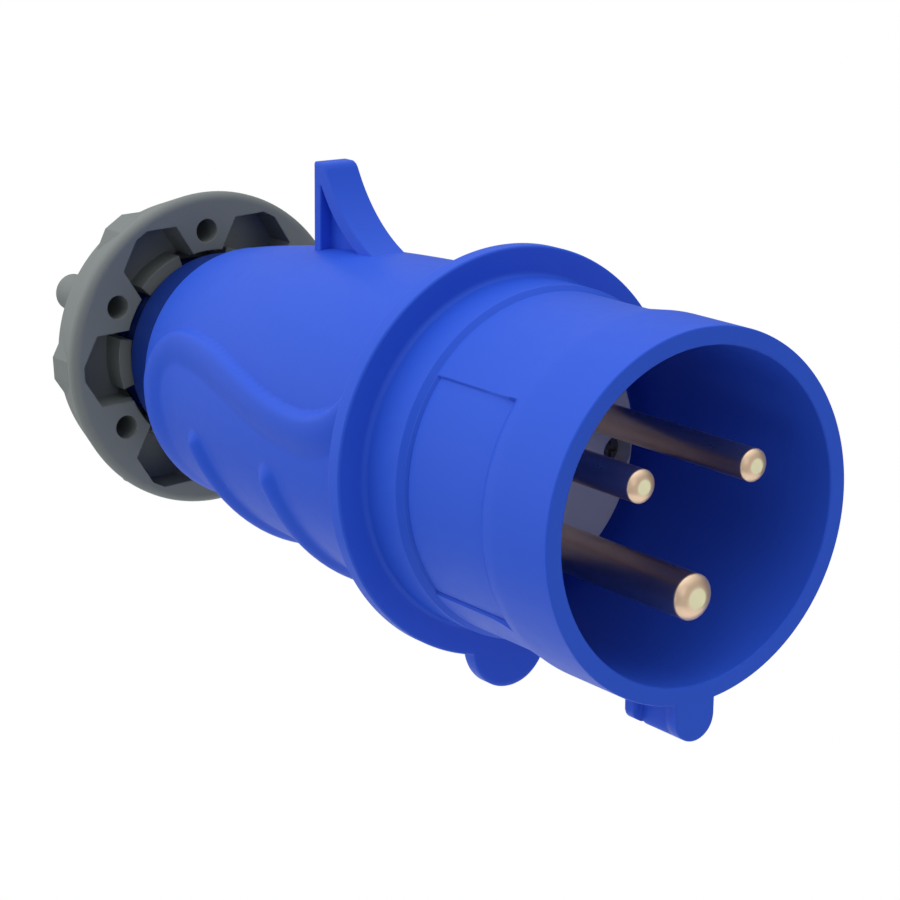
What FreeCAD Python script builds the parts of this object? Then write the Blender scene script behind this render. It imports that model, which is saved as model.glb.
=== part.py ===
import FreeCAD, Part
import math
import os
import re
import Sketcher

# Industrial pin and sleeve plug. +X is the way the plug goes into its socket, the origin is the centre
# of the mouth, +Z is up through the lug. A depth is a distance behind the mouth, so it lies at -X.

Vector = FreeCAD.Vector
doc = FreeCAD.newDocument("pin_and_sleeve_plug")
sheet = doc.addObject("Spreadsheet::Sheet", "Sizes")

SIZES = [
    # Sleeve and flange
    ("mouth_radius", 27.75, "outside radius of the thick band at the mouth"),
    ("mouth_wall", 2.8, "wall of the sleeve at the mouth"),
    ("edge_break", 0.35, "small chamfer on outer rims"),
    ("band_length", 13.0, "length of the thick band"),
    ("band_cone", 7.0, "length of the cone behind the band"),
    ("barrel_radius", 26.8, "outside radius of the sleeve behind the cone"),
    ("barrel_end", 36.0, "depth of the step behind the sleeve"),
    ("neck_radius", 27.6, "outside radius between the step and the flange"),
    ("flange_front", 44.4, "depth of the flange's front face"),
    ("flange_thickness", 3.0, "thickness of the flange"),
    ("flange_radius", 32.35, "outside radius of the flange"),
    ("floor_depth", 42.0, "depth of the sleeve's floor"),
    ("floor_radius", 24.3, "inside radius of the sleeve at its floor"),
    ("ledge_depth", 45.5, "depth of the ledge at the bottom of the gap round the insert"),
    ("seat_clearance", 0.15, "radial clearance of pieces that drop into a seat"),
    ("floor_web", 3.0, "thickness of the web that carries the insert"),
    ("spigot_radius", 24.4, "outside radius of the spigot that enters the handle"),
    ("spigot_wall", 2.3, "wall of the spigot"),
    ("spigot_run", 8.6, "length of the spigot behind the flange"),
    ("root_overlap", 0.5, "how deep a raised form starts inside the wall it stands on"),
    ("tab_half_width", 7.0, "half width of the rounded tab under the flange"),
    ("tab_reach", 38.0, "distance of the tab's lowest point from the axis"),
    ("key_half_width", 3.55, "half width of the key under the mouth"),
    ("key_reach", 33.6, "distance of the key's lowest point from the axis"),
    ("key_length", 11.6, "length of the key"),
    ("key_wall", 2.5, "thickness of the key's front and rear walls"),
    ("key_web", 1.3, "half thickness of the key's middle web"),
    ("key_round", 3.0, "radius of the key's rear lower corner"),
    ("label_front", 15.5, "depth of the label recess's front edge"),
    ("label_rear", 35.2, "depth of the label recess's rear edge"),
    ("label_angle", 77.0, "angle that the label recess covers"),
    ("label_depth", 0.3, "depth of the label recess below the surface"),
    # Seal between shroud and handle
    ("seal_setback", 3.8, "distance of the seal's groove behind the flange"),
    ("seal_width", 2.2, "width of the seal's groove"),
    ("seal_groove", 1.1, "depth of the seal's groove below the spigot"),
    ("seal_ease", 0.05, "radial gap between the seal and its groove"),
    # Insert and pins
    ("insert_radius", 21.65, "radius of the insert's front plate"),
    ("insert_plate", 5.0, "thickness of the insert's front plate"),
    ("insert_core", 11.0, "radius of the insert's middle behind the plate"),
    ("insert_length", 12.0, "length of the insert from front plate to rear face"),
    ("lobe_radius", 5.9, "radius of the insert's lobe round each pin"),
    ("pin_circle", 12.05, "radius of the circle of pin centres"),
    ("pin_setback", 0.2, "depth of the pins' tips behind the mouth"),
    ("pin_dome", 1.9, "length of the rounded tip"),
    ("pin_tip_flat", 0.3, "radius of the flat tip as a share of the pin's radius"),
    ("live_radius", 2.5, "radius of the line and neutral pins"),
    ("earth_radius", 3.5, "radius of the earth pin"),
    ("pin_seat_step", 0.4, "how much wider than its free part a pin is inside the insert"),
    ("pin_clearance", 0.05, "radial clearance of a pin in the insert"),
    ("collar_radius", 4.6, "radius of a pin's trapped collar"),
    ("collar_length", 2.0, "length of a pin's trapped collar"),
    ("barrel_terminal", 4.0, "radius of the terminal barrel"),
    ("terminal_run", 16.0, "length of the terminal barrel behind the insert"),
    ("wire_radius", 2.1, "radius of the wire hole"),
    ("wire_length", 11.0, "depth of the wire hole"),
    ("clamp_setback", 10.5, "distance of the clamping screw behind the insert"),
    ("clamp_bite", 1.05, "height of the clamping screw's tip above the barrel's axis"),
    ("clamp_radius", 2.0, "radius of the clamping screw"),
    ("clamp_length", 5.6, "length of the clamping screw"),
    ("clamp_slot", 0.8, "width and depth of the clamping screw's slot"),
    ("retainer_core", 10.0, "radius of the pin retainer's middle"),
    ("retainer_thickness", 3.0, "thickness of the pin retainer"),
    # Screws
    ("fixing_across", 18.7, "distance of a fixing screw from the middle plane"),
    ("fixing_drop", 2.0, "distance of the fixing screws below the axis"),
    ("fixing_shank", 1.7, "radius of a fixing screw's shank"),
    ("fixing_head", 2.45, "radius of a fixing screw's head"),
    ("fixing_head_height", 1.7, "height of a fixing screw's head"),
    ("fixing_length", 24.0, "length of a fixing screw's shank"),
    ("well_radius", 2.75, "radius of the well round a fixing screw's head"),
    ("well_depth", 3.6, "depth of the well"),
    ("head_flat", 0.62, "radius of a screw head's flat top as a share of its radius"),
    ("head_rim", 0.45, "height of a screw head's rim as a share of its height"),
    ("head_curve", 0.55, "radius of a screw head's curved side as a share of its radius"),
    ("screw_point", 0.35, "radius of a screw's end as a share of its shank"),
    ("hole_clearance", 0.1, "radial clearance of a screw in its hole"),
    ("middle_shank", 1.5, "radius of the retainer screw's shank"),
    ("middle_head", 2.7, "radius of the retainer screw's head"),
    ("middle_length", 9.0, "length of the retainer screw's shank"),
    ("cross_length", 2.9, "length of the cross recess"),
    ("cross_width", 0.75, "width of the cross recess"),
    ("cross_depth", 1.0, "depth of the cross recess"),
    # Handle
    ("handle_front_radius", 27.2, "outside radius of the handle at the flange"),
    ("handle_length", 76.6, "length of the grip behind the flange"),
    ("grip_a_place", 30.6, "distance of the second section behind the flange"),
    ("grip_a_radius", 26.2, "radius of the second section"),
    ("grip_b_place", 48.6, "distance of the third section behind the flange"),
    ("grip_b_radius", 24.95, "radius of the third section"),
    ("grip_c_place", 64.6, "distance of the fourth section behind the flange"),
    ("grip_c_radius", 22.75, "radius of the fourth section"),
    ("handle_rear_radius", 20.4, "radius of the grip's rear end"),
    ("grip_sag", 0.6, "drop of the fourth section's centre below the axis"),
    ("handle_wall", 2.6, "wall of the handle"),
    ("rear_round", 1.6, "rounding of the grip's rear edge"),
    ("collar_outer", 17.85, "outside radius of the plain collar behind the grip"),
    ("collar_run", 11.6, "length of the plain collar"),
    ("neck_thread", 15.6, "outside radius of the neck's thread"),
    ("neck_run", 6.6, "length of the threaded neck"),
    ("neck_bore", 12.5, "bore of the neck that holds the seal"),
    ("shoulder_bore", 9.0, "bore of the shoulder that stops the seal"),
    ("shoulder_setback", 4.6, "distance of the shoulder's front face before the collar's rear end"),
    ("shoulder_thickness", 2.0, "thickness of the shoulder"),
    ("throat_radius", 14.6, "inside radius of the handle's throat"),
    ("front_trim", 8.0, "reach of the cut that trims the handle's front"),
    ("post_radius", 3.0, "radius of a screw post"),
    ("post_length", 28.0, "length of a screw post"),
    ("post_rib", 1.2, "half thickness of the rib behind a screw post"),
    # Lug on top of the handle
    ("lug_place", 48.6, "distance of the lug's rear face behind the flange"),
    ("lug_height", 39.1, "height of the lug's top above the axis"),
    ("lug_top", 3.6, "length of the lug's flat top"),
    ("lug_foot", 19.6, "length of the lug's foot"),
    ("lug_foot_height", 25.0, "height of the lug's front foot above the axis"),
    ("lug_curve", 28.0, "radius of the lug's hollow front"),
    ("lug_half_width", 3.2, "half width of the lug"),
    ("lug_web", 1.0, "half thickness of the web between the lug's pockets"),
    ("lug_wall", 2.0, "wall round the lug's pockets"),
    ("lug_pocket_toe", 5.0, "distance of the pocket's front end behind the lug's foot"),
    ("lug_pocket_rise", 0.9, "height of the pocket's front end above the lug's foot"),
    ("lug_pocket_drop", 3.8, "distance of the pocket's top below the lug's top"),
    # Raised border and ribs of the grip
    ("relief_height", 1.35, "height of the border and the ribs above the grip"),
    ("border_half_width", 2.6, "half width of the border"),
    ("wave_low", 3.9, "height of the border's lowest place above the middle plane"),
    ("trough_place", 18.6, "distance of the border's lowest place behind the flange"),
    ("crest_place", 57.6, "distance of the border's highest place behind the flange, where it turns down"),
    ("wave_bend", 72.0, "radius of the wave's long bends"),
    ("wave_front_bend", 22.0, "radius of the wave's bend up to the flange"),
    ("border_setback", 4.8, "distance of the border's rear run before the grip's rear end"),
    ("rib_half_width", 2.6, "half width of a rib"),
    ("rib_front_place", 23.1, "distance of the front rib's lowest place behind the flange"),
    ("rib_front_slant", 6.7, "how far the front rib leans back at its ends"),
    ("rib_rear_place", 47.1, "distance of the rear rib's lowest place behind the flange"),
    ("rib_rear_slant", 8.2, "how far the rear rib leans back at its ends"),
    ("rib_lean", 0.1, "share of its slant by which a rib's foot leans forwards"),
    ("rib_end", 7.2, "distance of a rib's end below the middle plane"),
    # Gland nut
    ("nut_overlap", 1.3, "how far the nut's front face reaches over the collar"),
    ("nut_radius", 28.4, "radius of the nut's front disc"),
    ("nut_disc", 1.8, "length of the straight rim at the nut's front"),
    ("nut_round", 1.4, "rounding of the nut's front rim"),
    ("nut_bore", 18.15, "bore of the nut's front"),
    ("nut_body_length", 10.7, "length of the nut's body from its front face"),
    ("nut_body_radius", 25.8, "radius of the nut's back between its lobes"),
    ("nut_back_wall", 2.0, "thickness of the nut's back wall"),
    ("nut_phase", 3.2, "angle of the first blind hole past the top"),
    ("lobe_count", 6, "number of lobes, of holes and of thread lands"),
    ("pocket_half_width", 6.4, "half width of a lobe's pocket"),
    ("pocket_side_reach", 23.3, "reach of the pocket's straight sides from the axis"),
    ("pocket_tip_reach", 26.3, "reach of the pocket's blunt tip from the axis"),
    ("pocket_tip_half", 1.3, "half width of the pocket's blunt tip"),
    ("lobe_wall", 1.75, "wall of a lobe"),
    ("lobe_length", 8.4, "length of a lobe from the nut's front face"),
    ("lobe_side_share", 0.6, "share of a lobe's wall added to the reach of its straight sides"),
    ("lobe_tip_share", 0.4, "share of a lobe's wall added to the half width of its tip"),
    ("pocket_root", 16.335, "distance of a pocket's inner end from the axis"),
    ("land_clearance", 0.35, "radial clearance of the thread lands on the neck"),
    ("land_thickness", 2.4, "radial thickness of a thread land"),
    ("land_angle", 29.0, "angle that a thread land covers"),
    ("land_setback", 1.9, "setback of the lands behind the nut's front face"),
    ("hole_circle", 21.75, "radius of the circle of blind holes"),
    ("blind_radius", 2.1, "radius of a blind hole"),
    ("blind_depth", 9.0, "depth of a blind hole"),
    ("peg_count", 3, "number of pegs on the nut's back"),
    ("peg_radius", 3.3, "radius of a peg"),
    ("peg_length", 6.2, "length of a peg"),
    ("hub_length", 8.0, "length of the nut's rear hub"),
    ("hub_root_radius", 16.2, "outside radius of the hub at its root"),
    ("hub_tip_radius", 13.2, "outside radius of the hub at its tip"),
    ("cone_root_radius", 12.5, "inside radius of the nut's cone at its root"),
    ("cone_tip_radius", 9.7, "inside radius of the nut's cone at its tip"),
    ("exit_length", 1.5, "length of the plain exit behind the cone"),
    # Cable clamp and seal
    ("cage_clearance", 0.3, "clearance of the clamp cage in the neck"),
    ("cage_entry", 1.9, "how far the clamp cage's front face lies inside the neck"),
    ("cage_base", 2.5, "thickness of the clamp cage's base ring"),
    ("cage_base_bore", 8.6, "bore of the clamp cage's base ring"),
    ("finger_length", 8.0, "length of the clamp cage's fingers"),
    ("finger_gap", 0.45, "gap between the fingers and the nut's cone"),
    ("finger_wall", 1.8, "thickness of a finger"),
    ("finger_count", 10, "number of slots between fingers"),
    ("finger_root", 0.6, "height of the fingers' joined root"),
    ("finger_slot", 1.3, "width of a slot between fingers"),
    ("slip_thickness", 1.1, "thickness of the slip ring"),
    ("slip_bore", 8.8, "bore of the slip ring"),
    ("grommet_bore", 5.5, "bore of the rubber seal"),
    ("grommet_ease", 0.1, "radial gap between the neck's bore and the rings inside it"),
    # Working values
    ("half_round", 1.0001, "radius of a round end as a share of its half width, just over one"),
    ("cut_over", 1.0, "how far a cut reaches past the surface it opens"),
]

for row, (name, value, meaning) in enumerate(SIZES, start=1):
    sheet.set("A%d" % row, name)
    sheet.set("B%d" % row, str(value))
    sheet.set("C%d" % row, meaning)
    sheet.setAlias("B%d" % row, name)
doc.recompute()

NAMES = {name for name, value, meaning in SIZES}

# Depths and radii that follow from the sizes and that several pieces share
PLACES = {
    "flange_rear": "flange_front + flange_thickness",
    "spigot_end": "flange_rear + spigot_run",
    "spigot_bore": "spigot_radius - spigot_wall",
    "seal_front": "flange_rear + seal_setback",
    "plate_rear": "floor_depth + insert_plate",
    "web_rear": "plate_rear + floor_web",
    "insert_rear": "floor_depth + insert_length",
    "collar_front": "insert_rear - collar_length",
    "retainer_rear": "insert_rear + retainer_thickness",
    "terminal_end": "insert_rear + terminal_run",
    "clamp_place": "insert_rear + clamp_setback",
    "handle_bore": "spigot_radius + seat_clearance",
    "grip_rear": "flange_rear + handle_length",
    "collar_rear": "grip_rear + collar_run",
    "neck_rear": "collar_rear + neck_run",
    "shoulder_front": "collar_rear - shoulder_setback",
    "shoulder_rear": "shoulder_front + shoulder_thickness",
    "lug_rear": "flange_rear + lug_place",
    "wave_trough": "flange_rear + trough_place",
    "wave_crest": "flange_rear + crest_place",
    "wave_rear": "grip_rear - border_setback",
    "nut_front": "collar_rear - nut_overlap",
    "nut_back": "nut_front + nut_body_length",
    "hub_rear": "nut_back + hub_length",
    "cage_front": "neck_rear - cage_entry",
    "cage_base_rear": "cage_front + cage_base",
    "finger_rear": "cage_base_rear + finger_length",
    "slip_rear": "cage_front - cage_clearance",
    "slip_front": "slip_rear - slip_thickness",
}


def bound(text):
    """The expression with every place written out and every size's name led by the sheet's name."""
    def written_out(word):
        name = word.group(0)
        if name in PLACES:
            return "(%s)" % bound(PLACES[name])
        return "Sizes." + name if name in NAMES else name
    return re.sub(r"[a-z_]+", written_out, text)


def number(text):
    """The value of an expression at the present sizes."""
    return float(sheet.evalExpression(bound(text)))


def new_body(name):
    body = doc.addObject("PartDesign::Body", name)
    body.Label = name
    return body


def origin_feature(body, role):
    return next(feature for feature in body.Origin.OriginFeatures if feature.Role == role)


def new_sketch(body, name, role, offset=None):
    """A sketch on one of the body's own origin planes, moved along its normal by an expression."""
    sketch = body.newObject("Sketcher::SketchObject", name)
    sketch.AttachmentSupport = [(origin_feature(body, role), "")]
    sketch.MapMode = "FlatFace"
    if offset:
        sketch.setExpression(".AttachmentOffset.Base.z", bound(offset))
    return sketch


def tie(sketch, kind, *where_and_text):
    """Add a constraint whose value follows an expression on the sheet."""
    *where, text = where_and_text
    place = sketch.addConstraint(Sketcher.Constraint(kind, *where, number(text)))
    label = "%s_%d" % (kind.lower(), place)
    sketch.renameConstraint(place, label)
    sketch.setExpression("Constraints." + label, bound(text))


def arc_between(start, end, radius, bulge):
    """The arc from start to end, its centre on the left of the way for bulge 1, on the right for -1."""
    middle = (start + end) * 0.5
    along = end - start
    half = along.Length / 2
    side = Vector(-along.y, along.x, 0).normalize() * bulge
    centre = middle + side * math.sqrt(max(radius * radius - half * half, 0))
    circle = Part.Circle(centre, Vector(0, 0, 1), radius)
    from_point, to_point = (start, end) if bulge > 0 else (end, start)
    first = math.atan2(from_point.y - centre.y, from_point.x - centre.x)
    last = math.atan2(to_point.y - centre.y, to_point.x - centre.x)
    if last < first:
        last += 2 * math.pi
    return Part.ArcOfCircle(circle, first, last)


def outline(sketch, corners, arcs=None):
    """Draw a closed outline. Corners are pairs of expressions; arcs maps the number of the edge that
    starts at a corner to its radius and the side of its centre."""
    arcs = arcs or {}
    points = [Vector(number(x), number(y), 0) for x, y in corners]
    ends = []
    for place, start in enumerate(points):
        end = points[(place + 1) % len(points)]
        if place in arcs:
            radius, bulge = arcs[place]
            edge = sketch.addGeometry(arc_between(start, end, number(radius), bulge))
            ends.append((edge, 1, 2) if bulge > 0 else (edge, 2, 1))
        else:
            edge = sketch.addGeometry(Part.LineSegment(start, end))
            ends.append((edge, 1, 2))
    for place, (edge, first, last) in enumerate(ends):
        following, following_first, following_last = ends[(place + 1) % len(ends)]
        sketch.addConstraint(Sketcher.Constraint("Coincident", edge, last, following, following_first))
    for (edge, first, last), (x, y) in zip(ends, corners):
        tie(sketch, "DistanceX", -1, 1, edge, first, x)
        tie(sketch, "DistanceY", -1, 1, edge, first, y)
    for place, (radius, bulge) in arcs.items():
        tie(sketch, "Radius", ends[place][0], radius)


def circle(sketch, x, y, radius):
    edge = sketch.addGeometry(Part.Circle(Vector(number(x), number(y), 0), Vector(0, 0, 1), number(radius)))
    tie(sketch, "DistanceX", -1, 1, edge, 3, x)
    tie(sketch, "DistanceY", -1, 1, edge, 3, y)
    tie(sketch, "Radius", edge, radius)


def check_change(body, feature, grows):
    """Stop if a feature did not add material, or did not take any away."""
    before = feature.BaseFeature.Shape.Volume if feature.BaseFeature else 0
    doc.recompute()
    change = feature.Shape.Volume - before
    if (change > 0) != grows or abs(change) < 1e-6:
        raise RuntimeError("%s changes the volume of %s by %.4f" % (feature.Name, body.Name, change))


def revolve(body, name, corners, arcs=None):
    """Turn an outline in the XZ plane round the X axis."""
    sketch = new_sketch(body, name + "_outline", "XZ_Plane")
    outline(sketch, corners, arcs)
    feature = body.newObject("PartDesign::Revolution", name)
    feature.Profile = sketch
    feature.ReferenceAxis = (sketch, ["H_Axis"])
    feature.Angle = 360
    check_change(body, feature, True)
    return feature


def extrude(body, name, sketch, length, cut=False, forwards=False, symmetric=False):
    """Pad or pocket a sketch by an expression; forwards follows the sketch's normal."""
    feature = body.newObject("PartDesign::Pocket" if cut else "PartDesign::Pad", name)
    feature.Profile = sketch
    feature.setExpression("Length", bound(length))
    feature.Reversed = forwards if cut else not forwards
    if symmetric:
        feature.SideType = "Symmetric"
    check_change(body, feature, not cut)
    return feature


def around(body, name, feature, count):
    """Repeat a feature evenly round the X axis."""
    pattern = body.newObject("PartDesign::PolarPattern", name)
    pattern.Originals = [feature]
    pattern.Axis = (origin_feature(body, "X_Axis"), [""])
    pattern.Angle = 360
    if count in NAMES:
        pattern.setExpression("Occurrences", bound(count))
    else:
        pattern.Occurrences = int(count)
    body.Tip = pattern
    doc.recompute()
    return pattern


def place(obj, x="0", y="0", z="0"):
    for axis, text in (("x", x), ("y", y), ("z", z)):
        obj.setExpression(".Placement.Base." + axis, bound(text))


def minus(text):
    return "-(%s)" % text


def at_pin(angle):
    """Expressions for a pin's centre across and up, at an angle in degrees from the right."""
    return "pin_circle * cos(%d deg)" % angle, "pin_circle * sin(%d deg)" % angle


# The three pins, by name: radius and place round the circle, the right side being 0 degrees
PINS = {
    "line_pin": ("live_radius", 150),
    "neutral_pin": ("live_radius", 30),
    "earth_pin": ("earth_radius", -90),
}
FIXINGS = {"left": "-fixing_across", "right": "fixing_across"}


def make_front_shroud():
    """Sleeve, neck, flange and spigot turned as one, with the insert's seat, the tab, the key and the
    label recess."""
    body = new_body("front_shroud")
    groove_bottom = "spigot_radius - seal_groove"
    revolve(body, "shroud_turned", [
        ("0", "mouth_radius - mouth_wall"),
        ("0", "mouth_radius - edge_break"),
        ("-edge_break", "mouth_radius"),
        ("-band_length", "mouth_radius"),
        ("-(band_length + band_cone)", "barrel_radius"),
        ("-barrel_end", "barrel_radius"),
        ("-barrel_end", "neck_radius - edge_break"),
        ("-(barrel_end + edge_break)", "neck_radius"),
        ("-flange_front", "neck_radius"),
        ("-flange_front", "flange_radius - edge_break"),
        ("-(flange_front + edge_break)", "flange_radius"),
        ("-flange_rear + edge_break", "flange_radius"),
        ("-flange_rear", "flange_radius - edge_break"),
        ("-flange_rear", "spigot_radius"),
        ("-seal_front", "spigot_radius"),
        ("-seal_front", groove_bottom),
        ("-(seal_front + seal_width)", groove_bottom),
        ("-(seal_front + seal_width)", "spigot_radius"),
        ("-spigot_end", "spigot_radius"),
        ("-spigot_end", "spigot_bore"),
        ("-web_rear", "spigot_bore"),
        ("-web_rear", "0"),
        ("-plate_rear", "0"),
        ("-plate_rear", "insert_radius + seat_clearance"),
        ("-ledge_depth", "insert_radius + seat_clearance"),
        ("-ledge_depth", "floor_radius"),
    ])
    opening = new_sketch(body, "core_opening_outline", "YZ_Plane", "-web_rear")
    circle(opening, "0", "0", "insert_core + 2 * seat_clearance")
    extrude(body, "core_opening", opening, "floor_web", cut=True, forwards=True)
    lobe = new_sketch(body, "lobe_opening_outline", "YZ_Plane", "-web_rear")
    circle(lobe, "0", "-pin_circle", "lobe_radius + 2 * seat_clearance")
    opening = extrude(body, "lobe_opening", lobe, "floor_web", cut=True, forwards=True)
    around(body, "lobe_openings", opening, "3")
    holes = new_sketch(body, "fixing_holes_outline", "YZ_Plane", "-web_rear")
    for across in FIXINGS.values():
        circle(holes, across, "-fixing_drop", "fixing_shank + hole_clearance")
    extrude(body, "fixing_holes", holes, "floor_web", cut=True, forwards=True)

    tab = new_sketch(body, "tab_outline", "YZ_Plane", "-flange_front")
    tab_centre = "-(tab_reach - tab_half_width)"
    outline(tab, [
        ("-tab_half_width", "-(neck_radius + root_overlap)"),
        ("-tab_half_width", tab_centre),
        ("tab_half_width", tab_centre),
        ("tab_half_width", "-(neck_radius + root_overlap)"),
    ], {1: ("tab_half_width * half_round", 1)})
    extrude(body, "flange_tab", tab, "flange_thickness")

    key = new_sketch(body, "key_outline", "YZ_Plane", "0")
    key_centre = "-(key_reach - key_half_width)"
    outline(key, [
        ("-key_half_width", "-(barrel_radius - root_overlap)"),
        ("-key_half_width", key_centre),
        ("key_half_width", key_centre),
        ("key_half_width", "-(barrel_radius - root_overlap)"),
    ], {1: ("key_half_width * half_round", 1)})
    extrude(body, "mouth_key", key, "key_length")
    corner = new_sketch(body, "key_corner_outline", "XZ_Plane", "-(key_half_width + cut_over)")
    outline(corner, [
        ("-(key_length + cut_over)", "-(key_reach + cut_over)"),
        ("-(key_length - key_round)", "-(key_reach + cut_over)"),
        ("-(key_length - key_round)", "-key_reach"),
        ("-key_length", "-(key_reach - key_round)"),
        ("-(key_length + cut_over)", "-(key_reach - key_round)"),
    ], {2: ("key_round", -1)})
    extrude(body, "key_corner", corner, "2 * (key_half_width + cut_over)", cut=True, forwards=True)
    for side, offset in (("near", "key_web"), ("far", "-(key_half_width + cut_over)")):
        pocket = new_sketch(body, "key_pocket_%s_outline" % side, "XZ_Plane", offset)
        outline(pocket, [
            ("-key_wall", "-mouth_radius"),
            ("-(key_length - key_wall)", "-mouth_radius"),
            ("-(key_length - key_wall)", "-(key_reach + cut_over)"),
            ("-key_wall", "-(key_reach + cut_over)"),
        ])
        depth = "key_half_width + cut_over - key_web"
        extrude(body, "key_pocket_" + side, pocket, depth, cut=True, forwards=True)

    recess = new_sketch(body, "label_outline", "XY_Plane")
    rise = "(mouth_radius - barrel_radius) * (band_length + band_cone - label_front) / band_cone"
    outline(recess, [
        ("-label_rear", "-(barrel_radius - label_depth)"),
        ("-(band_length + band_cone)", "-(barrel_radius - label_depth)"),
        ("-label_front", "-(barrel_radius - label_depth + %s)" % rise),
        ("-label_front", "-(mouth_radius + cut_over)"),
        ("-label_rear", "-(mouth_radius + cut_over)"),
    ])
    groove = body.newObject("PartDesign::Groove", "label_recess")
    groove.Profile = recess
    groove.ReferenceAxis = (recess, ["H_Axis"])
    groove.setExpression("Angle", bound("label_angle"))
    groove.Midplane = True
    check_change(body, groove, False)
    return body


def make_contact_carrier():
    """Insert with a round front plate and a lobe round each pin, screw wells at both sides."""
    body = new_body("contact_carrier")
    plate = new_sketch(body, "plate_outline", "YZ_Plane", "-floor_depth")
    circle(plate, "0", "0", "insert_radius")
    extrude(body, "plate", plate, "insert_plate")
    core = new_sketch(body, "core_outline", "YZ_Plane", "-plate_rear")
    circle(core, "0", "0", "insert_core")
    extrude(body, "core", core, "insert_length - insert_plate")
    lobe = new_sketch(body, "lobe_outline", "YZ_Plane", "-plate_rear")
    circle(lobe, "0", "-pin_circle", "lobe_radius")
    around(body, "lobes", extrude(body, "lobe", lobe, "insert_length - insert_plate"), "3")
    seat = new_sketch(body, "collar_seat_outline", "YZ_Plane", "-insert_rear")
    circle(seat, "0", "-pin_circle", "collar_radius + pin_clearance")
    pocket = extrude(body, "collar_seat", seat, "collar_length", cut=True, forwards=True)
    around(body, "collar_seats", pocket, "3")
    bores = new_sketch(body, "pin_bores_outline", "YZ_Plane", "-insert_rear")
    for radius, angle in PINS.values():
        across, up = at_pin(angle)
        circle(bores, across, up, radius + " + pin_seat_step + pin_clearance")
    extrude(body, "pin_bores", bores, "insert_length", cut=True, forwards=True)
    holes = new_sketch(body, "fixing_outline", "YZ_Plane", "-plate_rear")
    wells = new_sketch(body, "wells_outline", "YZ_Plane", "-floor_depth")
    for across in FIXINGS.values():
        circle(holes, across, "-fixing_drop", "fixing_shank + hole_clearance")
        circle(wells, across, "-fixing_drop", "well_radius")
    extrude(body, "fixing_holes", holes, "insert_plate", cut=True, forwards=True)
    extrude(body, "screw_wells", wells, "well_depth", cut=True)
    middle = new_sketch(body, "middle_outline", "YZ_Plane", "-insert_rear")
    circle(middle, "0", "0", "middle_shank + hole_clearance")
    depth = "middle_length - retainer_thickness + cut_over"
    extrude(body, "middle_hole", middle, depth, cut=True, forwards=True)
    return body


def make_pin_retainer():
    """Plate behind the insert that traps the pins' collars."""
    body = new_body("pin_retainer")
    core = new_sketch(body, "core_outline", "YZ_Plane", "-insert_rear")
    circle(core, "0", "0", "retainer_core")
    extrude(body, "core", core, "retainer_thickness")
    lobe = new_sketch(body, "lobe_outline", "YZ_Plane", "-insert_rear")
    circle(lobe, "0", "-pin_circle", "lobe_radius")
    around(body, "lobes", extrude(body, "lobe", lobe, "retainer_thickness"), "3")
    hole = new_sketch(body, "barrel_hole_outline", "YZ_Plane", "-retainer_rear")
    circle(hole, "0", "-pin_circle", "barrel_terminal + pin_clearance")
    opening = extrude(body, "barrel_hole", hole, "retainer_thickness", cut=True, forwards=True)
    around(body, "barrel_holes", opening, "3")
    middle = new_sketch(body, "middle_outline", "YZ_Plane", "-retainer_rear")
    circle(middle, "0", "0", "middle_shank + hole_clearance")
    extrude(body, "middle_hole", middle, "retainer_thickness", cut=True, forwards=True)
    return body


def make_pin(name, radius, angle):
    """Turned pin: domed tip, wider part inside the insert, trapped collar and terminal barrel with a wire
    hole and a screw hole.
    The body's own Z points away from the plug's axis."""
    body = new_body(name)
    flat = "%s * pin_tip_flat" % radius
    seated = "%s + pin_seat_step" % radius
    dome_width = "(%s * (1 - pin_tip_flat))" % radius
    dome_curve = "(pin_dome * pin_dome + %s * %s) / (2 * %s)" % (dome_width, dome_width, dome_width)
    revolve(body, "turned_" + name, [
        ("-pin_setback", "0"),
        ("-pin_setback", flat),
        ("-(pin_setback + pin_dome)", radius),
        ("-floor_depth", radius),
        ("-floor_depth", seated),
        ("-collar_front", seated),
        ("-collar_front", "collar_radius"),
        ("-insert_rear", "collar_radius"),
        ("-insert_rear", "barrel_terminal"),
        ("-terminal_end", "barrel_terminal"),
        ("-terminal_end", "0"),
    ], {1: (dome_curve, 1)})
    wire = new_sketch(body, "wire_outline", "YZ_Plane", "-terminal_end")
    circle(wire, "0", "0", "wire_radius")
    extrude(body, "wire_hole", wire, "wire_length", cut=True, forwards=True)
    tapped = new_sketch(body, "tapped_outline", "XY_Plane")
    circle(tapped, "-clamp_place", "0", "clamp_radius + pin_clearance")
    extrude(body, "tapped_hole", tapped, "barrel_terminal + cut_over", cut=True, forwards=True)
    across, up = at_pin(angle)
    body.Placement.Rotation = FreeCAD.Rotation(Vector(1, 0, 0), angle - 90)
    place(body, "0", across, up)
    return body


def make_terminal_screw(name, angle):
    """Slotted grub screw in a terminal barrel, its own Z pointing away from the plug's axis."""
    body = new_body(name)
    shank = new_sketch(body, "shank_outline", "XY_Plane", "clamp_bite")
    circle(shank, "0", "0", "clamp_radius")
    extrude(body, "shank", shank, "clamp_length", forwards=True)
    slot = new_sketch(body, "slot_outline", "XY_Plane", "clamp_bite + clamp_length - clamp_slot")
    outline(slot, [
        ("-(clamp_radius + cut_over)", "-clamp_slot / 2"),
        ("clamp_radius + cut_over", "-clamp_slot / 2"),
        ("clamp_radius + cut_over", "clamp_slot / 2"),
        ("-(clamp_radius + cut_over)", "clamp_slot / 2"),
    ])
    extrude(body, "slot", slot, "clamp_slot + cut_over", cut=True, forwards=True)
    across, up = at_pin(angle)
    body.Placement.Rotation = FreeCAD.Rotation(Vector(1, 0, 0), angle - 90)
    place(body, "-clamp_place", across, up)
    return body


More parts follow.
